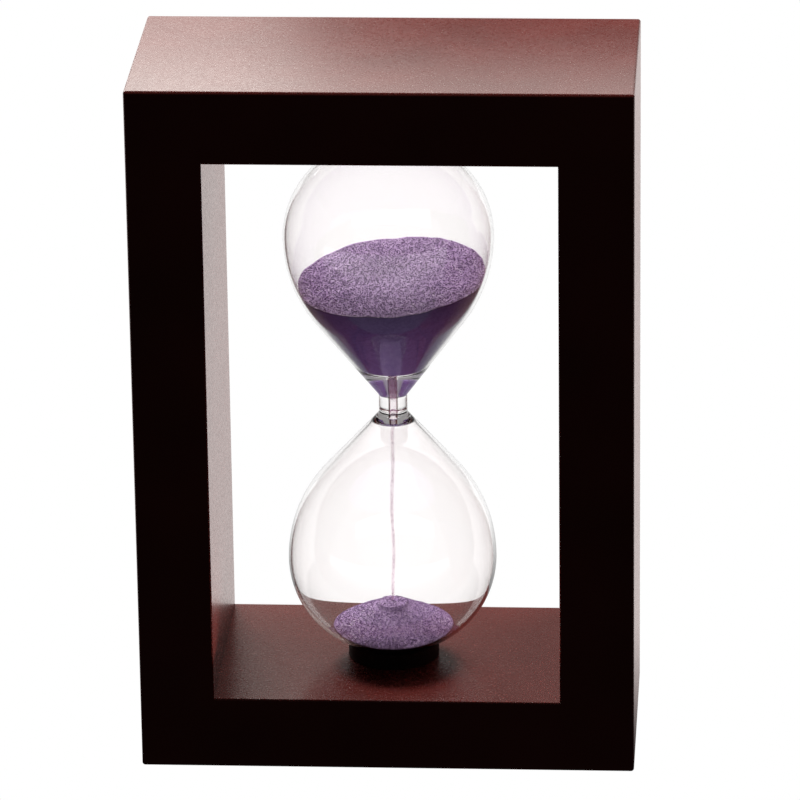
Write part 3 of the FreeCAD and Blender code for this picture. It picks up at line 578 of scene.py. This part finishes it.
def add_ramp(tree, factor, stops):
    """A colour ramp fed by a factor; stops are (position, colour)."""
    ramp = tree.nodes.new("ShaderNodeValToRGB")
    elements = ramp.color_ramp.elements
    while len(elements) < len(stops):
        elements.new(0.5)
    for element, (position, colour) in zip(elements, stops):
        element.position = position
        element.color = (*colour, 1)
    tree.links.new(factor, ramp.inputs["Fac"])
    return ramp.outputs["Color"]


def feed(tree, socket, value):
    """Set a socket to a plain number, or link it to another socket."""
    if isinstance(value, (int, float)):
        socket.default_value = value
    else:
        tree.links.new(value, socket)


def add_math(tree, operation, *terms):
    """One step of arithmetic on numbers and sockets."""
    node = tree.nodes.new("ShaderNodeMath")
    node.operation = operation
    for socket, term in zip(node.inputs, terms):
        feed(tree, socket, term)
    return node.outputs["Value"]


def add_span(tree, value, taken, given, smooth=False):
    """Map one range of numbers to another, in a straight line or as a smooth step."""
    span = tree.nodes.new("ShaderNodeMapRange")
    if smooth:
        span.interpolation_type = "SMOOTHSTEP"
    feed(tree, span.inputs["Value"], value)
    for name, end in zip(("From Min", "From Max", "To Min", "To Max"), (*taken, *given)):
        feed(tree, span.inputs[name], end)
    return span.outputs["Result"]


def add_range(tree, factor, low, high):
    """Map a factor of 0 to 1 to a range."""
    return add_span(tree, factor, (0, 1), (low, high))


def add_bump(tree, height, distance, strength):
    """A bump whose height is a pattern, and whose distance is in metres."""
    bump = tree.nodes.new("ShaderNodeBump")
    bump.inputs["Distance"].default_value = distance
    bump.inputs["Strength"].default_value = strength
    tree.links.new(height, bump.inputs["Height"])
    return bump.outputs["Normal"]


def make_lacquer():
    """Dark red-brown satin lacquer: a fine dusty speckle in the gloss and a slight orange peel."""
    material, tree, shader, _ = new_material("dark_red_brown_lacquer")
    speckle = add_speckle(tree, 2600.0, 45.0)
    colour = add_ramp(tree, speckle.outputs["Drift"], (
        (0.30, (0.074, 0.0110, 0.0090)), (0.70, (0.098, 0.0150, 0.0125)),
    ))
    tree.links.new(colour, shader.inputs["Base Color"])
    roughness = add_range(tree, speckle.outputs["Speckle"], 0.24, 0.34)
    tree.links.new(roughness, shader.inputs["Roughness"])
    normal = add_bump(tree, speckle.outputs["Speckle"], 0.010 * MM, 0.35)
    tree.links.new(normal, shader.inputs["Normal"])
    return material


def make_glass_material():
    """Clear soda glass with the faintest warm tint; it lets lamps through as shadowless."""
    material, tree, shader, output = new_material("clear_glass")
    shader.inputs["Base Color"].default_value = (0.992, 0.978, 0.976, 1)
    shader.inputs["Roughness"].default_value = 0.0
    shader.inputs["Transmission Weight"].default_value = 1.0
    shader.inputs["IOR"].default_value = 1.5
    clear = tree.nodes.new("ShaderNodeBsdfTransparent")
    path = tree.nodes.new("ShaderNodeLightPath")
    mix = tree.nodes.new("ShaderNodeMixShader")
    tree.links.new(path.outputs["Is Shadow Ray"], mix.inputs["Fac"])
    tree.links.new(shader.outputs["BSDF"], mix.inputs[1])
    tree.links.new(clear.outputs["BSDF"], mix.inputs[2])
    tree.links.new(mix.outputs["Shader"], output.inputs["Surface"])
    return material


def make_sand_material(name, stops, roughness, bump):
    """Fine dyed sand: each grain its own shade between the stops, with a drift over the bed.

    The place on the ramp is 0.75 of the grain's random number, plus -0.05 to 0.30 of drift."""
    material, tree, shader, _ = new_material(name)
    speckle = add_speckle(tree, 2300.0, 120.0)
    drift = add_range(tree, speckle.outputs["Drift"], -0.05, 0.30)
    shade = add_math(tree, "MULTIPLY_ADD", speckle.outputs["Speckle"], 0.75, drift)
    tree.links.new(add_ramp(tree, shade, stops), shader.inputs["Base Color"])
    gloss = add_range(tree, speckle.outputs["Speckle"], *roughness)
    tree.links.new(gloss, shader.inputs["Roughness"])
    normal = add_bump(tree, speckle.outputs["Speckle"], bump, 0.5)
    tree.links.new(normal, shader.inputs["Normal"])
    return material, tree, shader, speckle


THREAD_OPACITY = (0.14, 0.95)
THREAD_THINS_OVER = (NECK - 0.5 * MM, NECK + 2.0 * MM)


def make_falling_sand():
    """Sand in free fall: dense in the top of the bore, then thin enough to see past its grains. Its
    colours, far paler than the resting sand's, are painted light for a thread the lamps barely
    reach.
    """
    # Pale stops: painted light on the falling thread.
    material, tree, shader, speckle = make_sand_material("falling_violet_sand_painted_light", (
        (0.00, (0.75, 0.36, 0.62)), (1.00, (0.95, 0.62, 0.88)),
    ), (0.8, 0.6), 0.03 * MM)
    place = tree.nodes.new("ShaderNodeTexCoord")
    separate = tree.nodes.new("ShaderNodeSeparateXYZ")
    tree.links.new(place.outputs["Object"], separate.inputs["Vector"])
    density = add_span(tree, separate.outputs["Z"], THREAD_THINS_OVER, THREAD_OPACITY)
    clumps = add_range(tree, speckle.outputs["Drift"], 0.75, 1.25)
    tree.links.new(add_math(tree, "MULTIPLY", density, clumps), shader.inputs["Alpha"])
    return material


def make_rubber(name, colour, roughness):
    """Moulded rubber: matt, with a very fine tooth."""
    material, tree, shader, _ = new_material(name)
    speckle = add_speckle(tree, 4000.0, 90.0)
    darker = tuple(0.6 * part for part in colour)
    tint = add_ramp(tree, speckle.outputs["Drift"], ((0.3, darker), (0.7, colour)))
    tree.links.new(tint, shader.inputs["Base Color"])
    gloss = add_range(tree, speckle.outputs["Speckle"], *roughness)
    tree.links.new(gloss, shader.inputs["Roughness"])
    normal = add_bump(tree, speckle.outputs["Speckle"], 0.02 * MM, 0.3)
    tree.links.new(normal, shader.inputs["Normal"])
    return material


def make_beech():
    """Pale dowel wood: long streaks along Z."""
    material, tree, shader, _ = new_material("beech_dowel")
    place = tree.nodes.new("ShaderNodeTexCoord")
    stretch = tree.nodes.new("ShaderNodeMapping")
    stretch.inputs["Scale"].default_value = (900, 900, 60)
    streaks = tree.nodes.new("ShaderNodeTexNoise")
    streaks.inputs["Scale"].default_value = 1.0
    streaks.inputs["Detail"].default_value = 6.0
    tree.links.new(place.outputs["Object"], stretch.inputs["Vector"])
    tree.links.new(stretch.outputs["Vector"], streaks.inputs["Vector"])
    colour = add_ramp(tree, streaks.outputs["Fac"], (
        (0.35, (0.36, 0.21, 0.10)), (0.65, (0.62, 0.44, 0.26)),
    ))
    tree.links.new(colour, shader.inputs["Base Color"])
    roughness = add_range(tree, streaks.outputs["Fac"], 0.7, 0.5)
    tree.links.new(roughness, shader.inputs["Roughness"])
    normal = add_bump(tree, streaks.outputs["Fac"], 0.03 * MM, 0.5)
    tree.links.new(normal, shader.inputs["Normal"])
    return material


def make_felt():
    """Pressed felt: a tangle of dark fibres."""
    material, tree, shader, _ = new_material("pressed_felt")
    speckle = add_speckle(tree, 6000.0, 2500.0)
    colour = add_ramp(tree, speckle.outputs["Drift"], (
        (0.3, (0.010, 0.010, 0.011)), (0.7, (0.050, 0.048, 0.050)),
    ))
    tree.links.new(colour, shader.inputs["Base Color"])
    shader.inputs["Roughness"].default_value = 1.0
    shader.inputs["Sheen Weight"].default_value = 0.4
    normal = add_bump(tree, speckle.outputs["Drift"], 0.1 * MM, 0.8)
    tree.links.new(normal, shader.inputs["Normal"])
    return material


def dress(piece, *finishes):
    """Give a piece or a CAD node its materials, one for each of its slots."""
    slots = np.zeros(len(piece.data.polygons), int)
    piece.data.polygons.foreach_get("material_index", slots)
    piece.data.materials.clear()
    for finish in finishes:
        piece.data.materials.append(finish)
    piece.data.polygons.foreach_set("material_index", np.minimum(slots, len(finishes) - 1))


# ---------------------------------------------------------------------------------------------
# Studio
# ---------------------------------------------------------------------------------------------

# The floor shines by itself, by an amount that depends on what looks at it.
# Rough surfaces: more from the floor at the back than from the floor in front.
FLOOR_SIZE = 6.0
CAST_SPAN = (-0.03, 0.06)
CAST_LIGHT = (0.010, 1.3)
CAST_TINT = (1.0, 0.89, 0.87, 1)
# Reflections in the clear glass see a painted shadow of the object on the floor: dim within
# 35 mm of a line 30 mm in front of the axis, white from 200 mm of it outwards.
PAINTED_SHADOW_AHEAD = 0.03
PAINTED_SHADOW_SPAN = (0.035, 0.20)
PAINTED_SHADOW_LIGHT = (0.10, 1.0)
# Rays that have gone through more than three glass surfaces: a little brighter than white.
SURFACES_CROSSED = 3.0
LIGHT_THROUGH_GLASS = 1.17
WHITE = (1.0, 1.0, 1.0, 1)
# The room's light, for everything else and for the clear glass.
ROOM_LIGHT = (0.03, 0.30)


def make_floor():
    """A wide pale floor that shows white, and lights the object from behind; to the clear glass it
    shows a painted shadow in front of the object.
    """
    corners = FLOOR_SIZE * np.array([[-1, -1, 0], [1, -1, 0], [1, 1, 0], [-1, 1, 0]])
    floor = new_piece("studio_floor", corners, [[0, 1, 2, 3]], smooth=False)
    material = bpy.data.materials.new("pale_paper")
    material.use_nodes = True
    tree = material.node_tree
    tree.nodes.clear()
    output = tree.nodes.new("ShaderNodeOutputMaterial")
    paper = tree.nodes.new("ShaderNodeEmission")
    path = tree.nodes.new("ShaderNodeLightPath")
    place = tree.nodes.new("ShaderNodeTexCoord")
    separate = tree.nodes.new("ShaderNodeSeparateXYZ")
    tree.links.new(place.outputs["Object"], separate.inputs["Vector"])
    depth = separate.outputs["Y"]
    to_camera = path.outputs["Is Camera Ray"]

    cast = add_span(tree, depth, CAST_SPAN, CAST_LIGHT, smooth=True)
    # Painted shadow of the object on the floor, just in front of it, seen only in the clear glass.
    away = add_math(tree, "ABSOLUTE", add_math(tree, "ADD", depth, PAINTED_SHADOW_AHEAD))
    shade = add_span(tree, away, PAINTED_SHADOW_SPAN, PAINTED_SHADOW_LIGHT, smooth=True)
    unshaded = add_math(tree, "MAXIMUM", shade, to_camera)
    through = add_math(
        tree, "GREATER_THAN", path.outputs["Transmission Depth"], SURFACES_CROSSED
    )
    shown = add_span(tree, through, (0, 1), (unshaded, LIGHT_THROUGH_GLASS))
    sharp = add_math(tree, "MAXIMUM", to_camera, path.outputs["Is Singular Ray"])
    strength = add_span(tree, sharp, (0, 1), (cast, shown))

    tone = tree.nodes.new("ShaderNodeMix")
    tone.data_type = "RGBA"
    tint, plain = (socket for socket in tone.inputs if socket.type == "RGBA")
    tint.default_value = CAST_TINT
    plain.default_value = WHITE
    toned = next(socket for socket in tone.outputs if socket.type == "RGBA")
    tree.links.new(sharp, tone.inputs["Factor"])
    tree.links.new(toned, paper.inputs["Color"])
    tree.links.new(strength, paper.inputs["Strength"])
    tree.links.new(paper.outputs["Emission"], output.inputs["Surface"])
    dress(floor, material)


def make_world():
    """Dim to everything but clear glass, which shows the pale walls of the room."""
    world = bpy.data.worlds.new("studio")
    bpy.context.scene.world = world
    world.use_nodes = True
    tree = world.node_tree
    backdrop = tree.nodes["Background"]
    backdrop.inputs["Color"].default_value = (1, 0.98, 0.98, 1)
    path = tree.nodes.new("ShaderNodeLightPath")
    walls = add_span(tree, path.outputs["Is Singular Ray"], (0, 1), ROOM_LIGHT)
    tree.links.new(walls, backdrop.inputs["Strength"])


def add_soft_box(name, place, target, width, height, power, glossy):
    """A rectangular lamp at a place, facing a target, seen at most as gloss."""
    lamp = bpy.data.lights.new(name, "AREA")
    lamp.shape = "RECTANGLE"
    lamp.size = width
    lamp.size_y = height
    lamp.energy = power
    lamp.color = (1.0, 0.97, 0.92)
    holder = bpy.data.objects.new(name, lamp)
    bpy.context.scene.collection.objects.link(holder)
    holder.location = place
    aim = Vector(target) - Vector(place)
    holder.rotation_euler = aim.to_track_quat("-Z", "Y").to_euler()
    holder.visible_camera = False
    holder.visible_transmission = False
    holder.visible_glossy = glossy
    return holder


GLASS_MIDDLE = (0, 0, NECK)

# Name, place, target, width and height in metres, watts, and whether it shows as gloss.
LAMPS = (
    ("rear_panel", (-0.22, 0.40, 0.35), (-0.22, 0, 0.35), 0.34, 0.24, 0.68, True),
    ("low_panel", (0.02, 0.40, 0.17), (0.02, 0, 0.17), 0.50, 0.10, 0.07, True),
    ("near_strip", (-0.03, 0.06, 0.199), (-0.03, 0, 0.199), 0.30, 0.06, 0.12, True),
    ("back_left_box", (-0.34, 0.42, 0.36), GLASS_MIDDLE, 0.26, 0.20, 1.4, True),
    ("back_high_box", (-0.11, 0.50, 0.50), GLASS_MIDDLE, 0.25, 0.20, 6.0, False),
    ("back_right_box", (0.36, 0.46, 0.40), GLASS_MIDDLE, 0.26, 0.20, 0.8, False),
    ("overhead_box", (0.0, 0.06, 0.75), GLASS_MIDDLE, 0.50, 0.20, 3.4, False),
    ("bounce_card", (0, -0.020, 0.022), (0, -0.020, 0.10), 0.060, 0.008, 0.018, False),
    ("front_box", (0.25, -0.80, 0.35), GLASS_MIDDLE, 0.30, 0.30, 0.10, False),
)


def make_lights():
    """The rear and low panels, the near strip and the back left box show as gloss.

    The boxes behind and overhead light the sand and the top, the bounce card lights the sand's
    flank from inside the frame, and the front box only lifts the front a little."""
    for lamp in LAMPS:
        add_soft_box(*lamp)


def make_camera():
    """Long lens, slightly above and to the right of the front, with a slight lean."""
    aim = Vector((1.9, 0.0, 70.6)) * MM
    away = 1254.4 * MM
    yaw = math.radians(3.71)
    pitch = math.radians(20.83)
    roll = math.radians(-0.753)
    forward = Vector((
        -math.sin(yaw) * math.cos(pitch), math.cos(yaw) * math.cos(pitch), -math.sin(pitch),
    ))
    level = Vector((math.cos(yaw), math.sin(yaw), 0))
    upright = level.cross(forward)
    right = math.cos(roll) * level + math.sin(roll) * upright
    up = -math.sin(roll) * level + math.cos(roll) * upright
    lens = bpy.data.cameras.new("camera")
    lens.lens = 278.5
    lens.sensor_width = 36.0
    camera = bpy.data.objects.new("camera", lens)
    bpy.context.scene.collection.objects.link(camera)
    axes = Matrix((right, up, -forward)).transposed().to_4x4()
    camera.matrix_world = Matrix.Translation(aim - away * forward) @ axes
    bpy.context.scene.camera = camera
    bpy.context.scene.view_settings.view_transform = "Standard"


# ---------------------------------------------------------------------------------------------
# The object
# ---------------------------------------------------------------------------------------------

lacquer = make_lacquer()
for member in ("bottom_board", "top_board", "left_post", "right_post"):
    dress(nodes[member], lacquer)

beech = make_beech()
for name, node in nodes.items():
    if name.startswith("dowel_"):
        dress(node, beech)

felt = make_felt()
dress(nodes["lower_cushion"], felt)
dress(nodes["upper_cushion"], felt)
dress(nodes["stopper"], make_rubber("brown_stopper_rubber", (0.20, 0.15, 0.11), (0.6, 0.8)))

glass = make_glass()
dress(glass, make_glass_material())
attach(glass, "root")
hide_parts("glass")

loose_sand = make_sand_material("violet_dyed_sand", (
    (0.00, (0.270, 0.170, 0.355)), (0.45, (0.370, 0.245, 0.465)),
    (0.80, (0.440, 0.310, 0.535)), (1.00, (0.640, 0.530, 0.700)),
), (0.85, 0.45), 0.05 * MM)[0]
# Darker, deeper violet on the sand's faces that lie on the glass: painted shade for the flank and
# underside, which the lamps barely reach.
flank_sand_painted_shade = make_sand_material("violet_sand_painted_shade_on_glass", (
    (0.00, (0.150, 0.082, 0.290)), (1.00, (0.210, 0.120, 0.390)),
), (0.9, 0.8), 0.02 * MM)[0]
for piece, node, finishes in (
    (make_upper_sand(), "sand_upper", (loose_sand, flank_sand_painted_shade)),
    (make_stream(), "sand_stream", (make_falling_sand(),)),
    (make_heap(), "sand_heap", (loose_sand, flank_sand_painted_shade)),
):
    dress(piece, *finishes)
    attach(piece, "root")
    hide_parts(node)

black_rubber = make_rubber("black_moulded_rubber", (0.0025, 0.0025, 0.0025), (0.65, 0.85))
for piece, node in (
    (make_ring("seat_ring_below", "lower_ring", True), "lower_ring"),
    (make_ring("seat_ring_above", "upper_ring", False), "upper_ring"),
):
    dress(piece, black_rubber)
    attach(piece, "root")
    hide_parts(node)

make_floor()
make_world()
make_lights()
make_camera()
